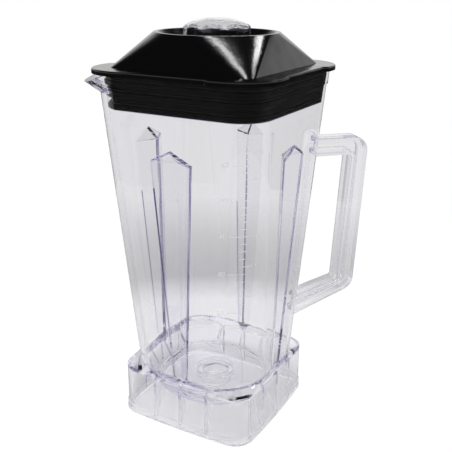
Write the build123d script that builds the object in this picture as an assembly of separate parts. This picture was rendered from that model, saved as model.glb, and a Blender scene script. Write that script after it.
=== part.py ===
from build123d import *
import math
import os

# Square jug for a countertop mixer: a clear jar, a rubber lid and a clear plug in the lid.
# The origin is on the jar's axis, in the plane of its foot. +X points to the handle and -X to the
# pouring lip, so the four walls face the diagonals.

# Jar walls
wall = 3.0
rim_height = 256.5
rim_half = 63.0
rim_corner = 20.0
shoulder_height = 41.0
shoulder_half = 52.2
shoulder_corner = 36.0
rim_band_height = 10.0
rim_band_step = 0.8

# Jar floor and blade seat
floor_height = 24.0
floor_half = 39.0
floor_corner = 33.0
floor_thickness = 4.5
floor_fillet = 6.0
seat_bore_radius = 11.0
seat_collar_radius = 14.5
seat_collar_rise = 2.0
seat_hub_drop = 5.0

# Jar skirt
skirt_height = 37.2
skirt_half = 52.3
skirt_corner = 14.0
skirt_bow = 2.1
skirt_wall = 3.0
skirt_ceiling = 3.0
foot_band_height = 6.0
foot_band_step = 0.8
gusset_thickness = 2.2
gusset_spacing = 22.0
gusset_foot_gap = 2.5
gusset_depth = 16.0

# Flutes in the jar's four walls
flute_top_gap = 46.5
flute_eave_drop = 7.5
flute_half_width = 15.0
flute_depth = 8.1
flute_low_depth = 2.7

# Pouring lip on the corner opposite the handle
lip_height = 13.7
lip_flare = 19.0
lip_tip_radius = 4.0
lip_half_width = 22.0
lip_wall = 2.6
lip_sink = 1.2
lip_dip_setback = 3.2
lip_dip_slope = 0.42

# Handle
handle_width = 16.0
handle_drop = 50.3
handle_span = 120.2
handle_reach_top = 39.2
handle_reach_low = 46.3
handle_grip_depth = 13.8
handle_arm_depth = 13.2
handle_low_arm_depth = 11.9
handle_low_rise = 0.405
handle_low_window_rise = 0.30
handle_outer_radius = 11.0
handle_inner_radius = 2.0
handle_flange = 3.8
handle_web = 6.0
handle_edge = 1.2
handle_root = 8.0

# Lid flange and sealing insert
lid_fit = 0.4
flange_thickness = 3.4
flange_half = 66.0
flange_corner = 30.0
tab_step = 2.8
tab_half_width = 26.0
tab_round = 3.0
insert_depth = 22.7
insert_wall = 4.0
groove_depth = 3.0
rib_top_gap = 3.2
rib_pitch = 6.6
rib_height = 5.0
rib_bevel = 1.2
low_rib_height = 4.4

# Lid dome and plug well
dome_half = 53.5
dome_corner = 8.0
dome_rise = 22.1
dome_top_radius = 42.6
dome_flat_angle = 14.0
dome_wall = 3.4
dome_lip = 2.6
dome_edge = 0.8
well_depth = 14.0
well_floor_radius = 30.0
well_floor_thickness = 3.4
plug_hole_radius = 20.0

# Plug
plug_fit = 0.4
plug_flange = 3.0
plug_side_height = 17.5
plug_crown = 5.2
plug_wall = 2.4
plug_neck_drop = 13.0
plug_seat_gap = 0.3
lug_height = 2.6
lug_reach = 3.0
lug_angle = 34.0
lug_gap = 0.4
notch_room = 0.6
grip_count = 8
grip_radius = 14.0
grip_depth = 2.2
grip_edge = 2.0

# Places worked out from the sizes
lid_seat = rim_height
flange_top = lid_seat + flange_thickness
dome_top = flange_top + dome_rise
well_floor = dome_top - well_depth
plug_seat = well_floor + plug_seat_gap
flute_apex = rim_height - flute_top_gap
flute_eave = flute_apex - flute_eave_drop
handle_top = rim_height - handle_drop
cut_over = 1.0
through = 600.0
root_two = math.sqrt(2)


def rounded_square(half, corner, height):
    """Rounded square at a height, with its corners on the X and Y axes."""
    return Plane.XY.offset(height) * Rot(0, 0, 45) * RectangleRounded(2 * half, 2 * half, corner)


def upright(radius, low, high):
    """Upright cylinder between two heights."""
    return Pos(0, 0, low) * Cylinder(radius, high - low, align=(Align.CENTER, Align.CENTER, Align.MIN))


def bowed_square(half, corner, height):
    """Rounded square whose sides bulge a little at the middle."""
    bulge = half + skirt_bow
    ends = [(half, -half), (half, half), (-half, half), (-half, -half)]
    middles = [(bulge, 0), (0, bulge), (-bulge, 0), (0, -bulge)]
    face = make_face([ThreePointArc(ends[i], middles[i], ends[(i + 1) % 4]) for i in range(4)])
    face = fillet(face.vertices(), corner)
    return Plane.XY.offset(height) * Rot(0, 0, 45) * face


def wall_half(height):
    """Distance from the axis to a wall's outer face at a height."""
    share = (height - shoulder_height) / (rim_height - shoulder_height)
    return shoulder_half + share * (rim_half - shoulder_half)


def wall_corner(height):
    """Radius of the body's outer corners at a height."""
    share = (height - shoulder_height) / (rim_height - shoulder_height)
    return shoulder_corner + share * (rim_corner - shoulder_corner)


def corner_reach(height):
    """Distance from the axis to the body's rounded corner at a height."""
    return wall_half(height) * root_two - wall_corner(height) * (root_two - 1)


def body_section(inset, height):
    """Plan of the body's walls at a height, moved in by an inset."""
    return rounded_square(wall_half(height) - inset, wall_corner(height) - inset, height)


def bowl_block(inset, bottom):
    """Rounded bottom of the vessel, from a flat bottom up to the shoulder."""
    low = rounded_square(floor_half + wall - inset, floor_corner + wall - inset, bottom)
    return loft([low, body_section(inset, shoulder_height)])


def flute_block(grow):
    """One V-shaped flute with a hipped top, on the +X side of an unturned square, grown by a wall."""
    low_crease = shoulder_half - flute_low_depth
    high_crease = wall_half(flute_eave) - flute_depth
    lean = (high_crease - low_crease) / (flute_eave - shoulder_height)
    half_angle = math.atan2(flute_half_width, flute_depth)
    crease = low_crease - lean * shoulder_height - grow / math.sin(half_angle)
    reach = rim_half - crease
    spread = reach * math.tan(half_angle)
    mouth = crease + reach
    section = make_face(Polyline((crease, 0), (mouth, -spread), (mouth, spread), close=True))
    block = extrude(section, amount=rim_height, dir=(lean, 0, 1))
    apex = Vector(wall_half(flute_apex), 0, flute_apex)
    ridge = Vector(high_crease, 0, flute_eave)
    for side in (1, -1):
        eave = Vector(wall_half(flute_eave), side * flute_half_width, flute_eave)
        up = (ridge - apex).cross(eave - apex).normalized() * -side
        block = split(block, bisect_by=Plane(apex + up * grow, z_dir=up), keep=Keep.BOTTOM)
    return block


def on_four_walls(block):
    """Copies of a block made on the +X side, turned onto the four diagonal walls."""
    return [Rot(0, 0, 45 + 90 * turn) * block for turn in range(4)]


def lip_section(reach, corner, inset, height):
    """Plan of the pouring lip at a height: a V with a rounded tip on the -X corner."""
    root = (wall_half(rim_height - lip_height) - lip_sink) * root_two - lip_half_width
    half = lip_half_width - inset
    tip = reach + corner * (root_two - 1) - inset * root_two
    face = make_face(Polyline((-tip, 0), (-root, -half), (-root, half), close=True))
    face = fillet(face.vertices().sort_by(Axis.X)[0], corner)
    return Plane.XY.offset(height) * face


def lip_block(inset, low, high):
    """The lip's beak, which grows out of the corner towards the rim, moved in by an inset."""
    low_section = lip_section(corner_reach(low) - lip_sink, wall_corner(low) - inset, inset, low)
    flare = lip_flare * (high - low) / lip_height
    high_section = lip_section(corner_reach(low) + flare, lip_tip_radius - inset / 2, inset, high)
    return loft([low_section, high_section])


def lip_dip_cutter():
    """Space above the lip's edge, which dips towards the tip."""
    start = corner_reach(rim_height) - lip_dip_setback
    far = start + 2 * lip_flare
    low = rim_height - lip_dip_slope * (far - start)
    high = rim_height + lip_height
    outline = Polyline((-start, rim_height), (-far, low), (-far, high), (-start, high), close=True)
    return extrude(make_face(Plane.XZ * outline), amount=through, both=True)


def handle_outline():
    """Side view of the handle's outside, in the XZ plane, with its ends inside the body's corner."""
    low = handle_top - handle_span
    outer_top = corner_reach(handle_top) + handle_reach_top
    outer_low = corner_reach(low) + handle_reach_low
    root_top = corner_reach(handle_top) - handle_root
    root_low = corner_reach(low) - handle_root
    foot = low - handle_low_rise * (outer_low - root_low)
    points = [(root_top, handle_top), (outer_top, handle_top), (outer_low, low), (root_low, foot)]
    face = make_face(Polyline(*points, close=True))
    outer = face.vertices().sort_by(Axis.X)[-2:]
    return fillet(outer, handle_outer_radius)


def handle_window():
    """Side view of the finger gap, in the XZ plane."""
    low = handle_top - handle_span
    outer_top = corner_reach(handle_top) + handle_reach_top - handle_grip_depth
    outer_low = corner_reach(low) + handle_reach_low - handle_grip_depth
    root_top = corner_reach(handle_top) - 2 * handle_root
    root_low = corner_reach(low) - 2 * handle_root
    top = handle_top - handle_arm_depth
    corner = low - handle_low_rise * handle_grip_depth + handle_low_arm_depth
    foot = corner - handle_low_window_rise * (outer_low - root_low)
    points = [(root_top, top), (outer_top, top), (outer_low, corner), (root_low, foot)]
    face = make_face(Polyline(*points, close=True))
    outer = face.vertices().sort_by(Axis.X)[-2:]
    return fillet(outer, handle_inner_radius)


def handle_block():
    """Handle with an I-shaped section: two flanges and a web, grooved on both sides."""
    outline = handle_outline()
    window = handle_window()
    frame = extrude(Plane.XZ * (outline - window), amount=handle_width / 2, both=True)
    side_edges = frame.faces().sort_by(Axis.Y)[0].edges() + frame.faces().sort_by(Axis.Y)[-1].edges()
    frame = fillet(side_edges, handle_edge)
    groove_plan = offset(outline, -handle_flange) - offset(window, handle_flange)
    groove = extrude(Plane.XZ * groove_plan, amount=handle_width / 2, both=True)
    web = Box(through, handle_web, through)
    return frame - (groove - web)


def skirt_block(inset, low, high):
    """Straight-sided skirt block between two heights, moved in by an inset."""
    return extrude(bowed_square(skirt_half - inset, skirt_corner - inset, low), amount=high - low)


def gussets():
    """Three tapered ribs on each side of the skirt, from the foot up to the vessel's bowl."""
    inner = skirt_half + skirt_bow - skirt_wall / 2
    low = (inner - skirt_wall, gusset_foot_gap)
    high = (inner - gusset_depth, skirt_height)
    outline = Polyline((inner, gusset_foot_gap), (inner, skirt_height), high, low, close=True)
    rib = extrude(make_face(Plane.XZ * outline), amount=gusset_thickness / 2, both=True)
    ribs = []
    for place in (-gusset_spacing, 0, gusset_spacing):
        ribs += on_four_walls(Pos(0, place, 0) * rib)
    return ribs


def make_jar():
    """The clear jar: fluted walls, rim, lip, handle, bowl, blade seat and skirt, moulded as one."""
    body = loft([body_section(0, shoulder_height), body_section(0, rim_height)])
    body -= on_four_walls(flute_block(0))
    band_low = rim_height - rim_band_height
    body += loft([body_section(-rim_band_step, band_low), body_section(-rim_band_step, rim_height)])
    body += lip_block(0, rim_height - lip_height, rim_height)
    body += handle_block()

    skirt = skirt_block(0, 0, skirt_height)
    skirt += skirt_block(-foot_band_step, 0, foot_band_height)
    skirt_top = bowed_square(skirt_half, skirt_corner, skirt_height)
    shoulder = loft([skirt_top, body_section(0, shoulder_height)])
    floor_under = floor_height - floor_thickness
    hollow = skirt_block(skirt_wall, -cut_over, skirt_height - skirt_ceiling)
    hollow -= bowl_block(0, floor_under)
    hollow -= upright(seat_collar_radius, floor_under - seat_hub_drop, floor_height)
    hollow -= gussets()
    base = skirt + shoulder + bowl_block(0, floor_under) - hollow

    cavity = loft([body_section(wall, shoulder_height), body_section(wall, rim_height + cut_over)])
    bowl = bowl_block(wall, floor_height)
    cavity += fillet(bowl.edges().group_by(Axis.Z)[0], floor_fillet)
    cavity -= on_four_walls(flute_block(wall))
    jar = body + base - cavity
    jar -= lip_block(lip_wall, rim_height - lip_height + wall, rim_height + cut_over)
    jar -= lip_dip_cutter()
    jar += upright(seat_collar_radius, floor_height, floor_height + seat_collar_rise)
    jar -= Cylinder(seat_bore_radius, through)
    return jar


def seal_section(inset, depth):
    """Plan of the insert at a depth below the rim, following the mouth with the lid's fit."""
    return body_section(wall + lid_fit + inset, rim_height - depth)


def seal_rib(top, thickness):
    """One sealing rib round the insert, with bevelled edges."""
    rib = extrude(seal_section(0, top + thickness), amount=thickness)
    edges = rib.edges().group_by(Axis.Z)[0] + rib.edges().group_by(Axis.Z)[-1]
    return chamfer(edges, rib_bevel)


def square_to_round(half, corner, low, radius, high):
    """Dome whose square base turns into a round top: four flat sides and four conical corners."""
    straight = half - corner
    square = []
    ring = []
    corner_angle = 90 - dome_flat_angle
    for turn in range(4):
        around = Rot(0, 0, 45 + 90 * turn)
        square.append(around * Line((half, -straight), (half, straight)))
        square.append(around * CenterArc((straight, straight), corner, 0, 90))
        ring.append(around * CenterArc((0, 0), radius, -dome_flat_angle / 2, dome_flat_angle))
        ring.append(around * CenterArc((0, 0), radius, dome_flat_angle / 2, corner_angle))
    base = Plane.XY.offset(low) * make_face(square)
    top = Plane.XY.offset(high) * make_face(ring)
    return loft([base, top], ruled=True)


def cone_between(low_radius, low, high_radius, high):
    """Upright cone between two heights."""
    cone = Cone(low_radius, high_radius, high - low, align=(Align.CENTER, Align.CENTER, Align.MIN))
    return Pos(0, 0, low) * cone


def ring_sector(inner, outer, low, height, middle, angle):
    """Sector of a flat ring, for the plug's lugs and the notches they pass."""
    outline = Plane.XZ * Pos((inner + outer) / 2, low + height / 2) * Rectangle(outer - inner, height)
    return Rot(0, 0, middle - angle / 2) * revolve(outline, Axis.Z, angle)


def flange_outline():
    """Plan of the lid's flange: a rounded square whose four corners stand out as tabs."""
    cross = Rectangle(through, 2 * tab_half_width) + Rectangle(2 * tab_half_width, through)
    outline = rounded_square(flange_half, flange_corner, 0)
    outline += rounded_square(flange_half + tab_step, flange_corner, 0) & cross
    steps = [v for v in outline.vertices() if min(abs(v.X), abs(v.Y)) > tab_half_width - tab_step]
    return Plane.XY.offset(lid_seat) * fillet(steps, tab_round)


def make_lid():
    """The rubber lid: tabbed flange, ribbed insert, hollow dome and the well that carries the plug."""
    lid = extrude(flange_outline(), amount=flange_thickness)
    lid += loft([seal_section(groove_depth, insert_depth), seal_section(groove_depth, 0)])
    for number in range(2):
        lid += seal_rib(rib_pitch * number + rib_top_gap, rib_height)
    lid += seal_rib(insert_depth - low_rib_height, low_rib_height)

    lid += square_to_round(dome_half, dome_corner, flange_top, dome_top_radius, dome_top)
    lean = (dome_half - dome_top_radius) / dome_rise
    inner_base = dome_half - dome_wall * math.sqrt(1 + lean * lean)
    inner_top = dome_top_radius - dome_wall * math.sqrt(1 + lean * lean)
    well_top_radius = dome_top_radius - dome_lip
    well_lean = (well_top_radius - well_floor_radius) / well_depth
    well_skin = dome_wall * math.sqrt(1 + well_lean * well_lean)
    under_floor = well_floor - well_floor_thickness
    under_radius = well_floor_radius + well_skin - well_lean * well_floor_thickness
    hollow = square_to_round(inner_base, dome_corner - dome_wall, flange_top, inner_top, dome_top)
    hollow -= cone_between(under_radius, under_floor, well_top_radius + well_skin, dome_top)
    throat = insert_wall + groove_depth
    hollow += loft([seal_section(throat, insert_depth + cut_over), seal_section(throat, -flange_thickness)])
    lid -= hollow
    lid -= cone_between(well_floor_radius, well_floor, well_top_radius, dome_top)
    lid = fillet(lid.edges().group_by(Axis.Z)[-1], dome_edge)

    lid -= Cylinder(plug_hole_radius, through)
    notch_outer = plug_hole_radius + lug_reach + notch_room
    notch_angle = lug_angle + 2 * math.degrees(notch_room / plug_hole_radius)
    notch_height = dome_top - rim_height
    for middle in (90, 270):
        lid -= ring_sector(plug_hole_radius / 2, notch_outer, rim_height, notch_height, middle, notch_angle)
    return lid


def cap_outline():
    """Plan of the plug's cap: a circle with scallops for the fingers."""
    cap = plug_hole_radius + plug_flange
    outline = Circle(cap)
    for number in range(grip_count):
        turn = Rot(0, 0, 360 / grip_count * (number + 0.5))
        outline -= turn * Pos(cap + grip_radius - grip_depth, 0) * Circle(grip_radius)
    return fillet(outline.vertices(), grip_edge)


def cap_block(inset):
    """The plug's cap with its domed crown, moved in by an inset."""
    cap = plug_hole_radius + plug_flange
    crown = plug_seat + plug_side_height + plug_crown
    crown_radius = (cap * cap + plug_crown * plug_crown) / (2 * plug_crown)
    plan = Plane.XY.offset(plug_seat + inset) * offset(cap_outline(), -inset)
    return extrude(plan, amount=through) & Pos(0, 0, crown - crown_radius) * Sphere(crown_radius - inset)


def make_plug():
    """The clear plug: hollow scalloped cap with a low crown, a neck and two locking lugs."""
    neck = plug_hole_radius - plug_fit
    bottom = plug_seat - plug_neck_drop
    plug = cap_block(0) - cap_block(plug_wall)
    plug += upright(neck, bottom, plug_seat + plug_wall)
    plug -= upright(neck - plug_wall, bottom, plug_seat + plug_wall)
    lug_top = well_floor - well_floor_thickness - lug_gap
    lug_inner = neck - plug_wall / 2
    lug_outer = plug_hole_radius + lug_reach
    for middle in (0, 180):
        plug += ring_sector(lug_inner, lug_outer, lug_top - lug_height, lug_height, middle, lug_angle)
    return plug


os.makedirs("parts", exist_ok=True)
for name, piece in (("jar", make_jar()), ("lid", make_lid()), ("lid_plug", make_plug())):
    export_step(piece, f"parts/{name}.step")
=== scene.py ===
"""Looks of a clear blender jar with a black rubber lid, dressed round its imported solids."""
import math

import bmesh
import bpy
from bpy.props import FloatProperty, FloatVectorProperty, IntProperty, PointerProperty
from mathutils import Matrix, Vector
from mathutils.bvhtree import BVHTree


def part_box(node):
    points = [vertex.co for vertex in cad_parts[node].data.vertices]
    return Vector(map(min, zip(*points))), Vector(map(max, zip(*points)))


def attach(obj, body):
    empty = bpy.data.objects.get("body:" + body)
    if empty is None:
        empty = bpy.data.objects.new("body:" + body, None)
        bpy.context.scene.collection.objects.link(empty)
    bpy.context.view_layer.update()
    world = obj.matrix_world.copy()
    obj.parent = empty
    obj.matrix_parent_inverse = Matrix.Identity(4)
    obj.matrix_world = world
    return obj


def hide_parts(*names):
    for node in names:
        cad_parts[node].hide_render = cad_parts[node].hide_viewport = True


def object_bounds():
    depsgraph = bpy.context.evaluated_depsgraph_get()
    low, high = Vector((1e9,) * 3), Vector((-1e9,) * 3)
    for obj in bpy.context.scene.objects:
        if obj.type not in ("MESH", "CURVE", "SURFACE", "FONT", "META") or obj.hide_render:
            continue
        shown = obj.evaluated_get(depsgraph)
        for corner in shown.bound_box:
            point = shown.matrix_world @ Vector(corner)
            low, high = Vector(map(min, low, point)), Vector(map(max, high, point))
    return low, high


bl_info = {
    "name": "Blender jar finish",
    "version": (1, 0, 0),
    "blender": (4, 5, 0),
    "location": "View3D > Sidebar > Jar",
    "description": "Gives a blender jar its clear plastic, rubber lid, printed scale and studio",
    "category": "Object",
}

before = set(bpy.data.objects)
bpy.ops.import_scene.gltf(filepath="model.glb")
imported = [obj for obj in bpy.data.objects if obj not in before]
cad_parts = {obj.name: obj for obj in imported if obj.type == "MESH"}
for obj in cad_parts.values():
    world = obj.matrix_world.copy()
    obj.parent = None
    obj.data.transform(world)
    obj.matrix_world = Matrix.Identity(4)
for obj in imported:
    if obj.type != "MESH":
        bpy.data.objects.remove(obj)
cad_low, cad_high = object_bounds()
jar_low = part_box("jar")[0]
lid_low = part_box("lid")[0]
ROOT_TWO = math.sqrt(2)

# Mesh work: gap that is closed between triangles, slack of a height, bend that still counts as flat,
# bend from which an edge is rounded, steps of the rounding and share of its depth with smooth rubber
MERGE_GAP = 1e-6
LEVEL_SLACK = 1e-5
FLAT_ANGLE = math.radians(0.5)
SHARP_ANGLE = math.radians(60)
ROUND_STEPS = 3
SMOOTH_SHARE = 0.9

# Rounded corners of the walls: slack at their ends, how far their faces lie out of and inside the arc,
# and how well a facet has to follow the arc to be shaded by it
CORNER_SLACK = 0.0002
CORNER_PROUD = 0.001
CORNER_DEPTH = 0.0034
CORNER_MATCH = 0.96

# Kinds of the jar's plastic, in the order of its material slots, and what tells them apart:
# how far a sealed face looks inward, and how far a flute's slanted face turns from its wall
PLAIN, SEALED, SLANTED, LIP = range(4)
INWARD_SHARE = 0.5
LEAST_SLANT = 0.3
MOST_SLANT = 0.6

# Graduations across the near corner: left and right ends of the lines, and where the numbers stand
TOP_LINE = (-0.008, 0.0028)
TEN_LINE = (-0.01, 0.001)
TWO_LINE = (-0.0035, 0.001)
CUP_LINE = (0.0016, 0.0058)
TEN_NUMBER = -0.0115
CUP_NUMBER = 0.0072

# Ounces from line to line, from number to number and in a cup, and the cups that are marked
LINE_OUNCES = 2
NUMBER_OUNCES = 10
CUP_OUNCES = 8
CUPS = range(3, 9)

# Making of the marks: strips that they are cut into, steps of lines and digits, and how far in front
# of the jar they start on their way to its wall
STRIP = 0.001
STRIPS = range(-18, 13)
LINE_STEPS = 12
DIGIT_STEPS = 4
CAST_ROOM = 0.05

# Stage: lamps as name, place, size and power, all turned to one target, then camera and floor
LAMP_TARGET = (0, 0, 0.2)
LAMPS = (
    ("overhead", (0.04, 0.15, 2.3), (1.0, 0.12), 10),
    ("right", (1.25, 0.45, 1.75), (0.1, 0.4), 4),
    ("front", (-0.53, -1.98, 1.75), (0.9, 0.6), 40),
)
SENSOR_WIDTH = 36
FLOOR_SIDES = 128
FLOOR_GAP = 0.0002


class JarFinish(bpy.types.PropertyGroup):
    """Clear plastic of the jar and of the plug."""

    tint: FloatVectorProperty(
        name="Surface tint", description="Colour of the plastic at its surface", subtype="COLOR",
        size=3, min=0, max=1, default=(0.955, 0.953, 0.962),
    )
    # Painted shade: the flutes' slanted faces get a darker lilac tint than the rest of the wall
    slant_tint: FloatVectorProperty(
        name="Slant painted shade", description="Painted shade on the flutes' slanted faces", subtype="COLOR",
        size=3, min=0, max=1, default=(0.89, 0.885, 0.913),
    )
    # Painted shade: the lip under the black flange is tinted dark slate
    lip_tint: FloatVectorProperty(
        name="Lip painted shade", description="Painted shade on the lip under the lid's flange", subtype="COLOR",
        size=3, min=0, max=1, default=(0.62, 0.64, 0.7),
    )
    depth_tint: FloatVectorProperty(
        name="Depth tint", description="Colour that the jar takes in its thick parts",
        subtype="COLOR", size=3, min=0, max=1, default=(0.82, 0.8, 0.9),
    )
    plug_tint: FloatVectorProperty(
        name="Plug tint", description="Colour of the plug's plastic at its surface",
        subtype="COLOR", size=3, min=0, max=1, default=(0.99, 0.99, 0.993),
    )
    jar_density: FloatProperty(
        name="Jar density", description="How strongly the jar's plastic takes up light", min=0,
        default=20,
    )
    plug_density: FloatProperty(
        name="Plug density", description="How strongly the plug's plastic takes up light", min=0,
        default=12,
    )
    index: FloatProperty(
        name="Refraction", description="Refractive index of the plastic", min=1, max=2, default=1.5,
    )
    seal_index: FloatProperty(
        name="Refraction at the seal",
        description="Refractive index where the rubber is pressed on the wall", min=1, max=2,
        default=1.2,
    )
    polish: FloatProperty(
        name="Roughness", description="Roughness of the polished faces", subtype="FACTOR", min=0,
        max=1, default=0,
    )
    shoulder: FloatVectorProperty(
        name="Walls at the shoulder",
        description="Height, half width and corner radius of the walls there", unit="LENGTH",
        size=3, precision=4, default=(0.041, 0.0522, 0.036),
    )
    rim: FloatVectorProperty(
        name="Walls at the rim",
        description="Height, half width and corner radius of the walls there", unit="LENGTH",
        size=3, precision=4, default=(0.2565, 0.063, 0.02),
    )
    flute_half: FloatProperty(
        name="Flute half width", description="Half the width of a wall's flute", unit="LENGTH",
        default=0.015,
    )
    ripple_size: FloatProperty(
        name="Ripple size", description="Width of the moulding's flow ripples", unit="LENGTH",
        default=0.03,
    )
    ripple_height: FloatProperty(
        name="Ripple height", description="Depth of the moulding's flow ripples", unit="LENGTH",
        default=0.00006,
    )
    crown_height: FloatProperty(
        name="Crown height", description="How far the plug's crown reaches down", unit="LENGTH",
        default=0.0055,
    )
    crown_round: FloatProperty(
        name="Crown rounding", description="Rounding of the crown's rim", unit="LENGTH",
        default=0.0015,
    )
    plug_ripple_size: FloatProperty(
        name="Plug ripple size", description="Width of the plug's flow ripples", unit="LENGTH",
        default=0.007,
    )
    plug_ripple_height: FloatProperty(
        name="Plug ripple height", description="Depth of the plug's flow ripples", unit="LENGTH",
        default=0.00025,
    )


class LidFinish(bpy.types.PropertyGroup):
    """Black rubber of the lid."""

    colour: FloatVectorProperty(
        name="Rubber colour", description="Colour of the rubber", subtype="COLOR", size=3, min=0,
        max=1, default=(0.0025, 0.0025, 0.003),
    )
    gloss: FloatProperty(
        name="Roughness", description="Roughness of the smooth rubber", subtype="FACTOR", min=0,
        max=1, default=0.15,
    )
    shine: FloatProperty(
        name="Shine", description="Strength of the reflections on the smooth rubber",
        subtype="FACTOR", min=0, max=1, default=0.4,
    )
    mottle: FloatProperty(
        name="Mottle", description="How far the roughness strays to either side", subtype="FACTOR",
        min=0, max=1, default=0.2,
    )
    crease: FloatProperty(
        name="Crease angle", description="Angle from which an edge stays sharp", subtype="ANGLE",
        default=math.radians(16),
    )
    insert_gloss: FloatProperty(
        name="Insert roughness", description="Roughness of the dull rubber inside the mouth",
        subtype="FACTOR", min=0, max=1, default=0.4,
    )
    insert_shine: FloatProperty(
        name="Insert shine",
        description="Strength of the reflections on the rubber inside the mouth", subtype="FACTOR",
        min=0, max=1, default=0.05,
    )
    flange_top: FloatProperty(
        name="Flange top", description="Height of the flange's upper face", unit="LENGTH",
        default=0.2599,
    )
    edge_round: FloatProperty(
        name="Edge rounding", description="Rounding of the flange's upper edge", unit="LENGTH",
        default=0.0013,
    )
    wave_size: FloatProperty(
        name="Wave size", description="Width of the soft rubber's waves", unit="LENGTH",
        default=0.024,
    )
    wave_height: FloatProperty(
        name="Wave height", description="Depth of the soft rubber's waves", unit="LENGTH",
        default=0.0007,
    )
    grain_size: FloatProperty(
        name="Grain size", description="Width of the rubber's fine grain", unit="LENGTH",
        default=0.0012,
    )
    grain_share: FloatProperty(
        name="Grain share", description="Share of the fine grain in the smooth rubber's waves",
        subtype="FACTOR", min=0, max=1, default=0.04,
    )


class ScalePrint(bpy.types.PropertyGroup):
    """Graduations on the jar's near corner: ounces on the left, cups on the right."""

    colour: FloatVectorProperty(
        name="Mark colour", description="Colour of the graduations", subtype="COLOR", size=3, min=0,
        max=1, default=(0.9, 0.9, 0.93),
    )
    roughness: FloatProperty(
        name="Roughness", description="Roughness of the marks", subtype="FACTOR", min=0, max=1,
        default=0.5,
    )
    wave_size: FloatProperty(
        name="Wear size", description="Width of the worn patches", unit="LENGTH", default=0.004,
    )
    wave_height: FloatProperty(
        name="Wear depth", description="Depth of the worn patches", unit="LENGTH", default=0.00003,
    )
    grain_size: FloatProperty(
        name="Grain size", description="Width of the marks' fine grain", unit="LENGTH",
        default=0.0008,
    )
    grain_share: FloatProperty(
        name="Grain share", description="Share of the fine grain in the wear", subtype="FACTOR",
        min=0, max=1, default=0.4,
    )
    first_units: IntProperty(name="First mark", description="Ounces at the lowest mark", default=20)
    last_units: IntProperty(name="Last mark", description="Ounces at the highest mark", default=68)
    first_height: FloatProperty(
        name="First height", description="Height of the lowest mark", unit="LENGTH", default=0.1033,
    )
    rise: FloatProperty(
        name="Rise", description="Height that the first ten ounces take", unit="LENGTH",
        default=0.03075,
    )
    slowing: FloatProperty(
        name="Slowing", description="How the rise falls off as the jar widens", unit="LENGTH",
        default=0.00115,
    )
    line_width: FloatProperty(
        name="Line width", description="Thickness of a graduation line", unit="LENGTH",
        default=0.00045,
    )
    digit_size: FloatProperty(
        name="Digit size", description="Letter size of the numbers", unit="LENGTH", default=0.0044,
    )
    relief: FloatProperty(
        name="Relief", description="How far the marks stand off the wall", unit="LENGTH",
        default=0.00012,
    )


class StageSetup(bpy.types.PropertyGroup):
    """Camera, lamps and floor."""

    eye: FloatVectorProperty(
        name="Camera place", description="Where the camera stands", subtype="TRANSLATION",
        unit="LENGTH", size=3, default=(-0.12545, -0.4708, 0.31603),
    )
    heading: FloatProperty(
        name="Heading", description="Turn of the view from +Y towards +X", subtype="ANGLE",
        default=0.275,
    )
    tilt: FloatProperty(
        name="Tilt", description="Downward tilt of the view", subtype="ANGLE", default=0.341,
    )
    roll: FloatProperty(
        name="Roll", description="Turn about the line of sight", subtype="ANGLE", default=0.009,
    )
    lens: FloatProperty(
        name="Lens", description="Focal length", unit="CAMERA", default=55.76,
    )
    fill: FloatProperty(
        name="Room light", description="Strength of the light from all round", min=0, default=0.25,
    )
    backdrop: FloatProperty(
        name="Backdrop", description="Strength of the backdrop in clear plastic", min=0,
        default=0.865,
    )
    front: FloatProperty(
        name="Front", description="Strength of the room in front of the jar in clear plastic",
        min=0, default=0.6,
    )
    front_range: FloatVectorProperty(
        name="Front range",
        description="Y of a direction where the front shows fully, and where it has gone", size=2,
        min=-1, max=1, default=(-0.95, -0.35),
    )
    band_low: FloatProperty(
        name="Band low", description="Elevation where the white band in gloss begins",
        subtype="ANGLE", default=math.radians(4),
    )
    band_high: FloatProperty(
        name="Band high", description="Elevation where the white band in gloss ends",
        subtype="ANGLE", default=math.radians(15),
    )
    band_soft: FloatProperty(
        name="Band edge", description="Soft edge under the white band, twice as wide above it",
        subtype="ANGLE", default=math.radians(7),
    )
    dim: FloatProperty(
        name="Dim room", description="Strength of the room in gloss above and below the band",
        min=0, default=0.02,
    )
    floor: FloatProperty(
        name="Floor", description="Paleness of the floor", subtype="FACTOR", min=0, max=1,
        default=0.5,
    )
    floor_radius: FloatProperty(
        name="Floor radius", description="Radius of the round floor", unit="LENGTH", default=0.55,
    )
    # Floor rings and shares: painted shade under and behind the jar and painted light round it, as clear
    # plastic shows the floor
    rings: FloatVectorProperty(
        name="Floor rings",
        description="Radii where the share is that under the jar, near it from and to, and behind it",
        unit="LENGTH", size=4, default=(0.065, 0.09, 0.18, 0.24),
    )
    glow: FloatProperty(
        name="Floor white", description="Strength of the floor's plain white", min=0, default=1.3,
    )
    glow_share: FloatProperty(
        name="Share for the camera", description="Share of plain white that the camera sees",
        subtype="FACTOR", min=0, max=1, default=0.7,
    )
    clear_under: FloatProperty(
        name="Share under the jar",
        description="Share of plain white that clear plastic shows under the jar", subtype="FACTOR",
        min=0, max=1, default=0.1,
    )
    clear_near: FloatProperty(
        name="Share near the jar",
        description="Share of plain white that clear plastic shows round the jar", subtype="FACTOR",
        min=0, max=1, default=0.55,
    )
    clear_behind: FloatProperty(
        name="Share behind",
        description="Share of plain white that clear plastic shows behind the jar",
        subtype="FACTOR", min=0, max=1, default=0.2,
    )
    clear_far: FloatProperty(
        name="Share at the edge",
        description="Share of plain white that clear plastic shows at the floor's edge",
        subtype="FACTOR", min=0, max=1, default=0.545,
    )
    clear_front: FloatProperty(
        name="Fade in front", description="What is left of that share at the floor's front edge",
        subtype="FACTOR", min=0, max=1, default=0.42,
    )
    gloss_share: FloatProperty(
        name="Share in gloss", description="Share of plain white seen in gloss", subtype="FACTOR",
        min=0, max=1, default=0.05,
    )
    bounces: IntProperty(
        name="Bounces", description="How often light turns inside the clear walls", min=4,
        default=48,
    )


def settings():
    """The add-on's settings on the open scene."""
    return bpy.context.scene.jar_finish


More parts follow.
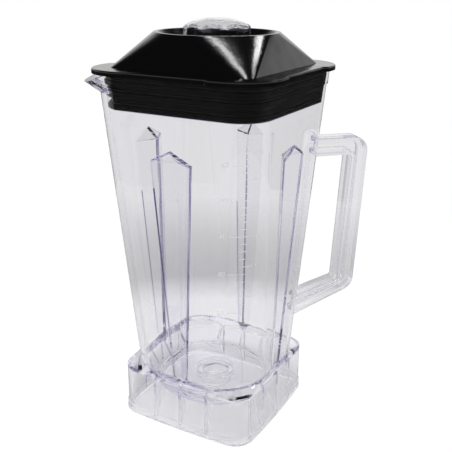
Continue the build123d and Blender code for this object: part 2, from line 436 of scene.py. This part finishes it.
def new_material(name):
    """An empty node material with its output and one Principled shader, joined."""
    material = bpy.data.materials.new(name)
    material.use_nodes = True
    nodes = material.node_tree.nodes
    nodes.clear()
    output = nodes.new("ShaderNodeOutputMaterial")
    shader = nodes.new("ShaderNodeBsdfPrincipled")
    material.node_tree.links.new(shader.outputs["BSDF"], output.inputs["Surface"])
    return material, nodes, material.node_tree.links, shader, output


def ripple_group():
    """Shared effect: slow waves and fine grain of a moulded face, in Object coordinates."""
    name = "Moulded surface"
    if name in bpy.data.node_groups:
        return bpy.data.node_groups[name]
    group = bpy.data.node_groups.new(name, "ShaderNodeTree")
    for socket, default in (("Wave size", 0.03), ("Grain size", 0.001), ("Grain share", 0.1)):
        item = group.interface.new_socket(name=socket, in_out="INPUT", socket_type="NodeSocketFloat")
        item.default_value = default
    group.interface.new_socket(name="Height", in_out="OUTPUT", socket_type="NodeSocketFloat")
    group.interface.new_socket(name="Mottle", in_out="OUTPUT", socket_type="NodeSocketFloat")
    nodes, links = group.nodes, group.links
    source = nodes.new("NodeGroupInput")
    result = nodes.new("NodeGroupOutput")
    place = nodes.new("ShaderNodeTexCoord")
    fields = []
    for socket in ("Wave size", "Grain size"):
        inverse = nodes.new("ShaderNodeMath")
        inverse.operation = "DIVIDE"
        inverse.inputs[0].default_value = 1
        links.new(source.outputs[socket], inverse.inputs[1])
        noise = nodes.new("ShaderNodeTexNoise")
        noise.inputs["Detail"].default_value = 1
        links.new(place.outputs["Object"], noise.inputs["Vector"])
        links.new(inverse.outputs[0], noise.inputs["Scale"])
        fields.append(noise)
    blend = nodes.new("ShaderNodeMix")
    links.new(source.outputs["Grain share"], blend.inputs["Factor"])
    links.new(fields[0].outputs["Fac"], blend.inputs[2])
    links.new(fields[1].outputs["Fac"], blend.inputs[3])
    links.new(blend.outputs[0], result.inputs["Height"])
    links.new(fields[0].outputs["Fac"], result.inputs["Mottle"])
    return group


def add_ripples(nodes, links, shader, wave, height, grain=0.001, share=0):
    """Places the shared moulded surface in a material and bends its normals by it."""
    ripples = nodes.new("ShaderNodeGroup")
    ripples.node_tree = ripple_group()
    ripples.inputs["Wave size"].default_value = wave
    ripples.inputs["Grain size"].default_value = grain
    ripples.inputs["Grain share"].default_value = share
    bump = nodes.new("ShaderNodeBump")
    bump.inputs["Distance"].default_value = height
    links.new(ripples.outputs["Height"], bump.inputs["Height"])
    links.new(bump.outputs["Normal"], shader.inputs["Normal"])
    return ripples


def clear_plastic(name, tint, density, index, wave, height):
    """Polished clear plastic that lets the lamps through and darkens with its depth."""
    look = settings().jar
    material, nodes, links, shader, output = new_material(name)
    shader.inputs["Base Color"].default_value = (*tint, 1)
    shader.inputs["Roughness"].default_value = look.polish
    shader.inputs["IOR"].default_value = index
    shader.inputs["Transmission Weight"].default_value = 1
    add_ripples(nodes, links, shader, wave, height)
    path = nodes.new("ShaderNodeLightPath")
    passing = nodes.new("ShaderNodeBsdfTransparent")
    passing.inputs["Color"].default_value = (*tint, 1)
    mix = nodes.new("ShaderNodeMixShader")
    links.new(path.outputs["Is Shadow Ray"], mix.inputs["Fac"])
    links.new(shader.outputs["BSDF"], mix.inputs[1])
    links.new(passing.outputs["BSDF"], mix.inputs[2])
    links.new(mix.outputs["Shader"], output.inputs["Surface"])
    depth = nodes.new("ShaderNodeVolumeAbsorption")
    depth.inputs["Color"].default_value = (*look.depth_tint, 1)
    depth.inputs["Density"].default_value = density
    links.new(depth.outputs["Volume"], output.inputs["Volume"])
    return material


def black_rubber(name, gloss, shine, share):
    """Black rubber with soft waves and a share of fine grain in them."""
    look = settings().lid
    material, nodes, links, shader, _ = new_material(name)
    shader.inputs["Base Color"].default_value = (*look.colour, 1)
    shader.inputs["Specular IOR Level"].default_value = shine
    ripples = add_ripples(nodes, links, shader, look.wave_size, look.wave_height, look.grain_size, share)
    rough = nodes.new("ShaderNodeMapRange")
    rough.inputs["To Min"].default_value = gloss * (1 - look.mottle)
    rough.inputs["To Max"].default_value = gloss * (1 + look.mottle)
    links.new(ripples.outputs["Mottle"], rough.inputs["Value"])
    links.new(rough.outputs["Result"], shader.inputs["Roughness"])
    return material


def merged_copy(node):
    """A CAD node's triangles, joined to one skin in a bmesh."""
    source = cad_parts[node]
    build = bmesh.new()
    build.from_mesh(source.data)
    bmesh.ops.transform(build, matrix=source.matrix_world, verts=build.verts)
    bmesh.ops.remove_doubles(build, verts=build.verts, dist=MERGE_GAP)
    for face in build.faces:
        face.material_index = 0
    return build


def stand_for(node, body, build, material):
    """Turns a bmesh into the piece that stands for a CAD node."""
    mesh = bpy.data.meshes.new(node + "_finish")
    build.to_mesh(mesh)
    build.free()
    mesh.materials.append(material)
    piece = bpy.data.objects.new(node + "_finish", mesh)
    bpy.context.scene.collection.objects.link(piece)
    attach(piece, body)
    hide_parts(node)
    return piece


def round_edges(build, low, high, width):
    """Rounds the sharp outer edges that run round the piece between two heights."""
    bmesh.ops.dissolve_limit(build, angle_limit=FLAT_ANGLE, verts=build.verts, edges=build.edges)
    level = [edge for edge in build.edges if all(low < end.co.z < high for end in edge.verts)]
    outer = [edge for edge in level if edge.is_manifold and edge.calc_face_angle_signed() > SHARP_ANGLE]
    bmesh.ops.bevel(
        build, geom=outer, offset=width, offset_type="OFFSET", affect="EDGES",
        segments=ROUND_STEPS, profile=0.5, material=-1,
    )


def smooth_piece(node, body, build, material):
    """Stands a copy of a CAD node in its place, with even shading between its sharp edges."""
    for face in build.faces:
        face.smooth = True
    for edge in build.edges:
        edge.smooth = edge.is_manifold and edge.calc_face_angle() < settings().lid.crease
    piece = stand_for(node, body, build, material)
    even = piece.modifiers.new("Even shading", "WEIGHTED_NORMAL")
    even.keep_sharp = True
    return piece


def corner_direction(spot):
    """Outward direction of the walls' rounded corner at a spot on it, or None beside the corners."""
    look = settings().jar
    # Each of these vectors holds a height, a half width and a corner radius
    low, high = Vector(look.shoulder), Vector(look.rim)
    slope = (high - low) / (high.x - low.x)
    radius = low.z + slope.z * (spot.z - low.x)
    centre = low.y + slope.y * (spot.z - low.x) - radius
    across = Vector((spot.x - spot.y, spot.x + spot.y)) / ROOT_TWO
    out = Vector((abs(across.x) - centre, abs(across.y) - centre))
    if min(out) < -CORNER_SLACK or not -CORNER_PROUD < radius - out.length < CORNER_DEPTH:
        return None
    if not low.x - CORNER_SLACK < spot.z < high.x + CORNER_SLACK:
        return None
    out.normalize()
    rise = (slope.z - slope.y) * (out.x + out.y) - slope.z
    first = math.copysign(out.x, across.x)
    second = math.copysign(out.y, across.y)
    return Vector(((first + second) / ROOT_TWO, (second - first) / ROOT_TWO, rise)).normalized()


def shade_corners(mesh):
    """Gives the walls' rounded corners the true directions of their surface; the rest stays faceted."""
    directions = [corner_direction(vertex.co) for vertex in mesh.vertices]
    normals = [face.normal.copy() for face in mesh.polygons for _ in face.loop_indices]
    for face in mesh.polygons:
        true = [directions[index] for index in face.vertices]
        face.use_smooth = all(way and abs(way.dot(face.normal)) > CORNER_MATCH for way in true)
        if face.use_smooth:
            for loop, way in zip(face.loop_indices, true):
                normals[loop] = way if way.dot(face.normal) > 0 else -way
    mesh.normals_split_custom_set(normals)


def plastic_kind(face):
    """Which of the jar's plastics a face gets, by where it lies and how it slants."""
    look = settings().jar
    middle, normal = face.calc_center_median(), face.normal
    if middle.z > lid_low.z:
        _, half, corner = look.rim
        inward = normal.xy.dot(middle.xy) < -INWARD_SHARE * middle.xy.length
        # The rubber stands off the wall in the corners at the lip and at the handle
        stands_off = abs(middle.x) - abs(middle.y) > ROOT_TWO * (half - corner)
        if inward and not stands_off:
            return SEALED
        corner_reach = ROOT_TWO * half - (ROOT_TWO - 1) * corner
        # The lip's plastic carries painted shade from the flange above it
        return LIP if middle.x < -corner_reach else PLAIN
    beside = min(abs(middle.x - middle.y), abs(middle.x + middle.y)) / ROOT_TWO
    slant = min(abs(normal.x - normal.y), abs(normal.x + normal.y)) / ROOT_TWO
    in_flute = middle.z > look.shoulder[0] and beside < look.flute_half
    # Slanted faces of a flute get the plastic tinted with painted shade
    return SLANTED if in_flute and LEAST_SLANT < slant < MOST_SLANT else PLAIN


class JAR_OT_finish_jar(bpy.types.Operator):
    """Give the jar its clear plastic"""

    bl_idname = "jar.finish_jar"
    bl_label = "Finish jar"

    def execute(self, context):
        look = settings().jar
        build = merged_copy("jar")
        parts = list(build.verts) + list(build.edges) + list(build.faces)
        bmesh.ops.bisect_plane(build, geom=parts, plane_co=(0, 0, lid_low.z), plane_no=(0, 0, 1))
        for face in build.faces:
            face.material_index = plastic_kind(face)
        # The slant and lip tints are painted shade; the others are the plastic's own tint
        kinds = (
            ("Jar plastic", look.tint, look.index),
            ("Jar plastic at the seal", look.tint, look.seal_index),
            ("Jar plastic on slants with painted shade", look.slant_tint, look.index),
            ("Jar plastic at the lip with painted shade", look.lip_tint, look.index),
        )
        waves = (look.ripple_size, look.ripple_height)
        plastics = [
            clear_plastic(name, tint, look.jar_density, index, *waves) for name, tint, index in kinds
        ]
        jar = stand_for("jar", "jar", build, plastics[PLAIN])
        for plastic in plastics[SEALED:]:
            jar.data.materials.append(plastic)
        shade_corners(jar.data)
        return {"FINISHED"}


class JAR_OT_finish_lid(bpy.types.Operator):
    """Give the lid its black rubber"""

    bl_idname = "jar.finish_lid"
    bl_label = "Finish lid"

    def execute(self, context):
        look = settings().lid
        build = merged_copy("lid")
        round_edges(build, look.flange_top - LEVEL_SLACK, look.flange_top + LEVEL_SLACK, look.edge_round)
        rubber = black_rubber("Black rubber", look.gloss, look.shine, look.grain_share)
        lid = smooth_piece("lid", "jar", build, rubber)
        lid.data.materials.append(black_rubber("Dull rubber", look.insert_gloss, look.insert_shine, 0))
        for face in lid.data.polygons:
            top = max(lid.data.vertices[index].co.z for index in face.vertices)
            if top < look.flange_top - SMOOTH_SHARE * look.edge_round:
                face.material_index = 1
        return {"FINISHED"}


class JAR_OT_finish_plug(bpy.types.Operator):
    """Give the lid's plug its clear plastic"""

    bl_idname = "jar.finish_plug"
    bl_label = "Finish plug"

    def execute(self, context):
        look = settings().jar
        waves = (look.plug_ripple_size, look.plug_ripple_height)
        plastic = clear_plastic("Plug plastic", look.plug_tint, look.plug_density, look.index, *waves)
        build = merged_copy("lid_plug")
        round_edges(build, cad_high.z - look.crown_height, cad_high.z, look.crown_round)
        smooth_piece("lid_plug", "plug", build, plastic)
        return {"FINISHED"}


def mark_material():
    """Pale moulded graduations, a little worn."""
    look = settings().scale
    material, nodes, links, shader, _ = new_material("Scale marks")
    shader.inputs["Base Color"].default_value = (*look.colour, 1)
    shader.inputs["Roughness"].default_value = look.roughness
    add_ripples(nodes, links, shader, look.wave_size, look.wave_height, look.grain_size, look.grain_share)
    return material


def mark_height(units):
    """Height of a number of ounces on the scale."""
    look = settings().scale
    tens = (units - look.first_units) / NUMBER_OUNCES
    return look.first_height + look.rise * tens - look.slowing * tens * tens


class JAR_OT_print_scale(bpy.types.Operator):
    """Put the graduations on the jar's near corner"""

    bl_idname = "jar.print_scale"
    bl_label = "Print scale"

    def execute(self, context):
        look = settings().scale
        build = bmesh.new()
        for units in range(look.first_units, look.last_units + 1, LINE_OUNCES):
            height = mark_height(units)
            if units == look.last_units:
                self.add_line(build, TOP_LINE, height)
            elif units % NUMBER_OUNCES == 0:
                self.add_line(build, TEN_LINE, height)
                self.add_number(context, build, units, TEN_NUMBER, height, "RIGHT")
            else:
                self.add_line(build, TWO_LINE, height)
        for cups in CUPS:
            height = mark_height(CUP_OUNCES * cups)
            self.add_line(build, CUP_LINE, height)
            self.add_number(context, build, cups, CUP_NUMBER, height, "LEFT")
        self.wrap(build, look.relief)
        mesh = bpy.data.meshes.new("scale_marks")
        build.to_mesh(mesh)
        build.free()
        mesh.materials.append(mark_material())
        marks = bpy.data.objects.new("scale_marks", mesh)
        context.scene.collection.objects.link(marks)
        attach(marks, "jar")
        return {"FINISHED"}

    def add_line(self, build, ends, height):
        """A flat bar across the corner, in the XZ plane."""
        left, right = ends
        half = (right - left) / 2
        place = Matrix.Translation((left + half, 0, height))
        shape = Matrix.Diagonal((half, 1, settings().scale.line_width / 2, 1))
        stand = Matrix.Rotation(math.pi / 2, 4, "X")
        bar = place @ shape @ stand
        bmesh.ops.create_grid(build, x_segments=LINE_STEPS, y_segments=1, size=1, matrix=bar)

    def add_number(self, context, build, number, edge, height, align):
        """A number beside its line, in the XZ plane."""
        curve = bpy.data.curves.new("number", "FONT")
        curve.body = str(number)
        curve.size = settings().scale.digit_size
        curve.align_x = align
        curve.align_y = "CENTER"
        curve.resolution_u = DIGIT_STEPS
        holder = bpy.data.objects.new("number", curve)
        context.scene.collection.objects.link(holder)
        holder.matrix_world = Matrix.Translation((edge, 0, height)) @ Matrix.Rotation(math.pi / 2, 4, "X")
        context.view_layer.update()
        mesh = bpy.data.meshes.new_from_object(holder.evaluated_get(context.evaluated_depsgraph_get()))
        mesh.transform(holder.matrix_world)
        build.from_mesh(mesh)
        bpy.data.objects.remove(holder)
        bpy.data.meshes.remove(mesh)

    def wrap(self, build, relief):
        """Cuts the flat marks into narrow strips and lays them on the jar's corner."""
        for step in STRIPS:
            parts = list(build.verts) + list(build.edges) + list(build.faces)
            bmesh.ops.bisect_plane(build, geom=parts, plane_co=(step * STRIP, 0, 0), plane_no=(1, 0, 0))
        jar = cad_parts["jar"]
        spots = [jar.matrix_world @ vertex.co for vertex in jar.data.vertices]
        skin = BVHTree.FromPolygons(spots, [face.vertices for face in jar.data.polygons])
        for vertex in build.verts:
            start = Vector((vertex.co.x, jar_low.y - CAST_ROOM, vertex.co.z))
            spot, normal, _, _ = skin.ray_cast(start, Vector((0, 1, 0)))
            if spot is None:
                raise RuntimeError("A mark of the scale lies beside the jar")
            vertex.co = spot + normal * relief


def area_lamp(name, place, target, size, power):
    """A softbox at a place, turned to a target."""
    data = bpy.data.lights.new(name, "AREA")
    data.shape = "RECTANGLE"
    data.size, data.size_y = size
    data.energy = power
    lamp = bpy.data.objects.new(name, data)
    bpy.context.scene.collection.objects.link(lamp)
    lamp.location = place
    lamp.visible_transmission = False
    lamp.rotation_euler = (Vector(target) - Vector(place)).to_track_quat("-Z", "Y").to_euler()


def math_node(nodes, links, operation, first, second):
    """A Math node on two links or numbers."""
    node = nodes.new("ShaderNodeMath")
    node.operation = operation
    for socket, value in zip(node.inputs, (first, second)):
        if isinstance(value, (int, float)):
            socket.default_value = value
        else:
            links.new(value, socket)
    return node.outputs[0]


def set_stops(ramp, stops):
    """Gives a Color Ramp node its grey stops, as (position, level) pairs."""
    while len(ramp.color_ramp.elements) < len(stops):
        ramp.color_ramp.elements.new(1)
    for stop, (position, level) in zip(ramp.color_ramp.elements, stops):
        stop.position = position
        stop.color = (level, level, level, 1)


class JAR_OT_set_stage(bpy.types.Operator):
    """Set the floor, the room, the lamps and the camera"""

    bl_idname = "jar.set_stage"
    bl_label = "Set stage"

    def execute(self, context):
        scene = context.scene
        stage = settings().stage
        scene.view_settings.view_transform = "Standard"
        scene.cycles.max_bounces = stage.bounces
        scene.cycles.transmission_bounces = stage.bounces
        scene.cycles.glossy_bounces = stage.bounces
        self.make_room(scene, stage)
        self.make_floor(scene, stage)
        self.make_lamps()
        self.make_camera(scene, stage)
        return {"FINISHED"}

    def make_room(self, scene, stage):
        """White for the camera, pale in clear plastic, and for gloss a white band along the horizon."""
        world = bpy.data.worlds.new("Room")
        scene.world = world
        world.use_nodes = True
        nodes, links = world.node_tree.nodes, world.node_tree.links
        nodes.clear()
        output = nodes.new("ShaderNodeOutputWorld")
        light = nodes.new("ShaderNodeBackground")
        light.inputs["Color"].default_value = (1, 1, 1, 1)
        links.new(light.outputs["Background"], output.inputs["Surface"])
        place = nodes.new("ShaderNodeTexCoord")
        parts = nodes.new("ShaderNodeSeparateXYZ")
        links.new(place.outputs["Generated"], parts.inputs["Vector"])
        # The band's ramp runs from straight down at 0 to straight up at 1
        upward = math_node(nodes, links, "MULTIPLY_ADD", parts.outputs["Z"], 0.5)
        upward.node.inputs[2].default_value = 0.5
        band = nodes.new("ShaderNodeValToRGB")
        stops = ((stage.band_low - stage.band_soft, stage.dim), (stage.band_low, 1),
                 (stage.band_high, 1), (stage.band_high + 2 * stage.band_soft, stage.dim))
        set_stops(band, [(0.5 + 0.5 * math.sin(angle), level) for angle, level in stops])
        links.new(upward, band.inputs["Fac"])
        path = nodes.new("ShaderNodeLightPath")
        level = nodes.new("ShaderNodeMix")
        level.inputs[2].default_value = stage.fill
        links.new(path.outputs["Is Glossy Ray"], level.inputs["Factor"])
        links.new(band.outputs["Color"], level.inputs[3])
        clear = nodes.new("ShaderNodeMix")
        links.new(path.outputs["Is Transmission Ray"], clear.inputs["Factor"])
        links.new(level.outputs[0], clear.inputs[2])
        depth = nodes.new("ShaderNodeMapRange")
        depth.inputs["From Min"].default_value = stage.front_range[0]
        depth.inputs["From Max"].default_value = stage.front_range[1]
        depth.inputs["To Min"].default_value = stage.front
        depth.inputs["To Max"].default_value = stage.backdrop
        links.new(parts.outputs["Y"], depth.inputs["Value"])
        links.new(depth.outputs["Result"], clear.inputs[3])
        shown = math_node(nodes, links, "MAXIMUM", clear.outputs[0], path.outputs["Is Camera Ray"])
        links.new(shown, light.inputs["Strength"])

    def make_floor(self, scene, stage):
        """A round table top that the camera sees as white, apart from the shadow on it."""
        mesh = bpy.data.meshes.new("floor")
        build = bmesh.new()
        bmesh.ops.create_circle(build, cap_ends=True, segments=FLOOR_SIDES, radius=stage.floor_radius)
        build.to_mesh(mesh)
        build.free()
        mesh.materials.append(self.floor_material(stage))
        floor = bpy.data.objects.new("floor", mesh)
        floor.location.z = cad_low.z - FLOOR_GAP
        scene.collection.objects.link(floor)

    def floor_material(self, stage):
        """Matt for the lamps, with a share of plain white by the kind of ray and the distance; by
        distance that share is painted shade under and behind the jar and painted light round it.
        """
        material = bpy.data.materials.new("Floor")
        material.use_nodes = True
        nodes, links = material.node_tree.nodes, material.node_tree.links
        nodes.clear()
        output = nodes.new("ShaderNodeOutputMaterial")
        matt = nodes.new("ShaderNodeBsdfDiffuse")
        matt.inputs["Color"].default_value = (stage.floor, stage.floor, stage.floor, 1)
        glow = nodes.new("ShaderNodeEmission")
        glow.inputs["Strength"].default_value = stage.glow
        path = nodes.new("ShaderNodeLightPath")
        place = nodes.new("ShaderNodeTexCoord")
        reach = nodes.new("ShaderNodeVectorMath")
        reach.operation = "LENGTH"
        links.new(place.outputs["Object"], reach.inputs[0])
        # Share of white by distance from the jar: painted shade under and behind it, painted light round
        # it
        fade = nodes.new("ShaderNodeValToRGB")
        radii = (*stage.rings, stage.floor_radius)
        near = (stage.clear_near, stage.clear_near)
        levels = (stage.clear_under, *near, stage.clear_behind, stage.clear_far)
        set_stops(fade, [(radius / stage.floor_radius, level) for radius, level in zip(radii, levels)])
        share = math_node(nodes, links, "DIVIDE", reach.outputs["Value"], stage.floor_radius)
        links.new(share, fade.inputs["Fac"])
        parts = nodes.new("ShaderNodeSeparateXYZ")
        links.new(place.outputs["Object"], parts.inputs["Vector"])
        # The share fades towards the floor's front edge, darker towards the front
        front = nodes.new("ShaderNodeMapRange")
        front.inputs["From Min"].default_value = stage.front_range[0] * stage.floor_radius
        front.inputs["From Max"].default_value = stage.front_range[1] * stage.floor_radius
        front.inputs["To Min"].default_value = stage.clear_front
        links.new(parts.outputs["Y"], front.inputs["Value"])
        clear = math_node(nodes, links, "MULTIPLY", fade.outputs["Color"], front.outputs["Result"])
        clear = math_node(nodes, links, "MULTIPLY", path.outputs["Is Transmission Ray"], clear)
        gloss = math_node(nodes, links, "MULTIPLY", path.outputs["Is Glossy Ray"], stage.gloss_share)
        seen = math_node(nodes, links, "MULTIPLY", path.outputs["Is Camera Ray"], stage.glow_share)
        seen = math_node(nodes, links, "MAXIMUM", seen, clear)
        seen = math_node(nodes, links, "MAXIMUM", seen, gloss)
        mix = nodes.new("ShaderNodeMixShader")
        links.new(seen, mix.inputs["Fac"])
        links.new(matt.outputs["BSDF"], mix.inputs[1])
        links.new(glow.outputs["Emission"], mix.inputs[2])
        links.new(mix.outputs["Shader"], output.inputs["Surface"])
        return material

    def make_lamps(self):
        """A narrow softbox overhead, a small one on the right and a large one in front."""
        for name, place, size, power in LAMPS:
            area_lamp(name, place, LAMP_TARGET, size, power)

    def make_camera(self, scene, stage):
        """The photograph's viewpoint, with no depth of field."""
        data = bpy.data.cameras.new("Camera")
        data.lens = stage.lens
        data.sensor_width = SENSOR_WIDTH
        camera = bpy.data.objects.new("Camera", data)
        scene.collection.objects.link(camera)
        turn = Matrix.Rotation(-stage.heading, 4, "Z")
        tip = Matrix.Rotation(math.pi / 2 - stage.tilt, 4, "X")
        roll = Matrix.Rotation(stage.roll, 4, "Z")
        camera.matrix_world = Matrix.Translation(stage.eye) @ turn @ tip @ roll
        scene.camera = camera


class JarSettings(bpy.types.PropertyGroup):
    """All settings of the jar's finish."""

    jar: PointerProperty(type=JarFinish)
    lid: PointerProperty(type=LidFinish)
    scale: PointerProperty(type=ScalePrint)
    stage: PointerProperty(type=StageSetup)


STEPS = (JAR_OT_finish_jar, JAR_OT_finish_lid, JAR_OT_finish_plug, JAR_OT_print_scale, JAR_OT_set_stage)


class JAR_PT_panel(bpy.types.Panel):
    """Lists the jar's steps in the sidebar."""

    bl_label = "Blender jar"
    bl_space_type = "VIEW_3D"
    bl_region_type = "UI"
    bl_category = "Jar"

    def draw(self, context):
        for step in STEPS:
            self.layout.operator(step.bl_idname)


CLASSES = (JarFinish, LidFinish, ScalePrint, StageSetup, JarSettings, *STEPS, JAR_PT_panel)


def register():
    for item in CLASSES:
        bpy.utils.register_class(item)
    bpy.types.Scene.jar_finish = PointerProperty(type=JarSettings)


def unregister():
    del bpy.types.Scene.jar_finish
    for item in reversed(CLASSES):
        bpy.utils.unregister_class(item)


def main():
    register()
    bpy.ops.jar.finish_jar()
    bpy.ops.jar.finish_lid()
    bpy.ops.jar.finish_plug()
    bpy.ops.jar.print_scale()
    bpy.ops.jar.set_stage()


if __name__ == "__main__":
    main()
